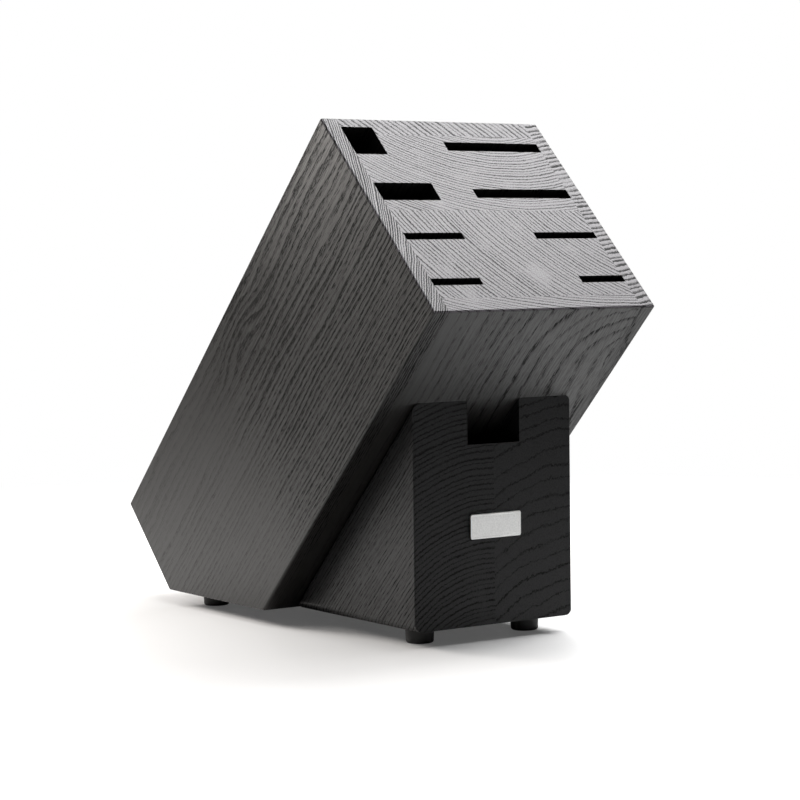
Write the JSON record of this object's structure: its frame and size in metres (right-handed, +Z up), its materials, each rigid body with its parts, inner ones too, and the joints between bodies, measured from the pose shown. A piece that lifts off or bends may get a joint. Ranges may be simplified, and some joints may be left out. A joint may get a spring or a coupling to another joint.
{
  "type": "knife block",
  "caption": "Leaning knife block laminated from black-stained ash, with slots of several sizes in its top face, a wedge stand with a shears channel, a blank badge and rubber feet.",
  "frame": {"origin": "on the ground, under the middle of the whole block", "axes": "+X to the right as seen from the front, -Y to the front where the slots open, +Z up"},
  "size_m": [0.13, 0.292, 0.2515],
  "materials": {
    "block_ash": "black-stained open-grain ash, satin",
    "stand_ash": "black-stained open-grain ash, darker than the block, satin",
    "badge_metal": "satin anodised, blank",
    "adhesive": "black double-sided foam tape",
    "rubber": "moulded black rubber",
    "zinc_steel": "zinc plated",
    "beech": "raw fluted dowel stock"
  },
  "bodies": {
    "root": {"left_side_panel": "block_ash", "right_side_panel": "block_ash", "back_board": "block_ash", "row_1_backing_board": "block_ash", "row_1_strip": "block_ash", "upper_core_board": "block_ash", "row_2_strip": "block_ash", "centre_core_board": "block_ash", "row_3_backing_board": "block_ash", "row_3_strip": "block_ash", "lower_core_board": "block_ash", "row_4_strip": "block_ash", "row_4_facing_board": "block_ash", "front_board": "block_ash", "stand_left_half": "stand_ash", "stand_right_half": "stand_ash", "badge_plate": "badge_metal", "badge_adhesive_pad": "adhesive", "front_left_foot": "rubber", "front_right_foot": "rubber", "rear_left_foot": "rubber", "rear_right_foot": "rubber", "foot_washers": "zinc_steel", "foot_screws": "zinc_steel", "stand_dowels": "beech"}
  },
  "joints": []
}
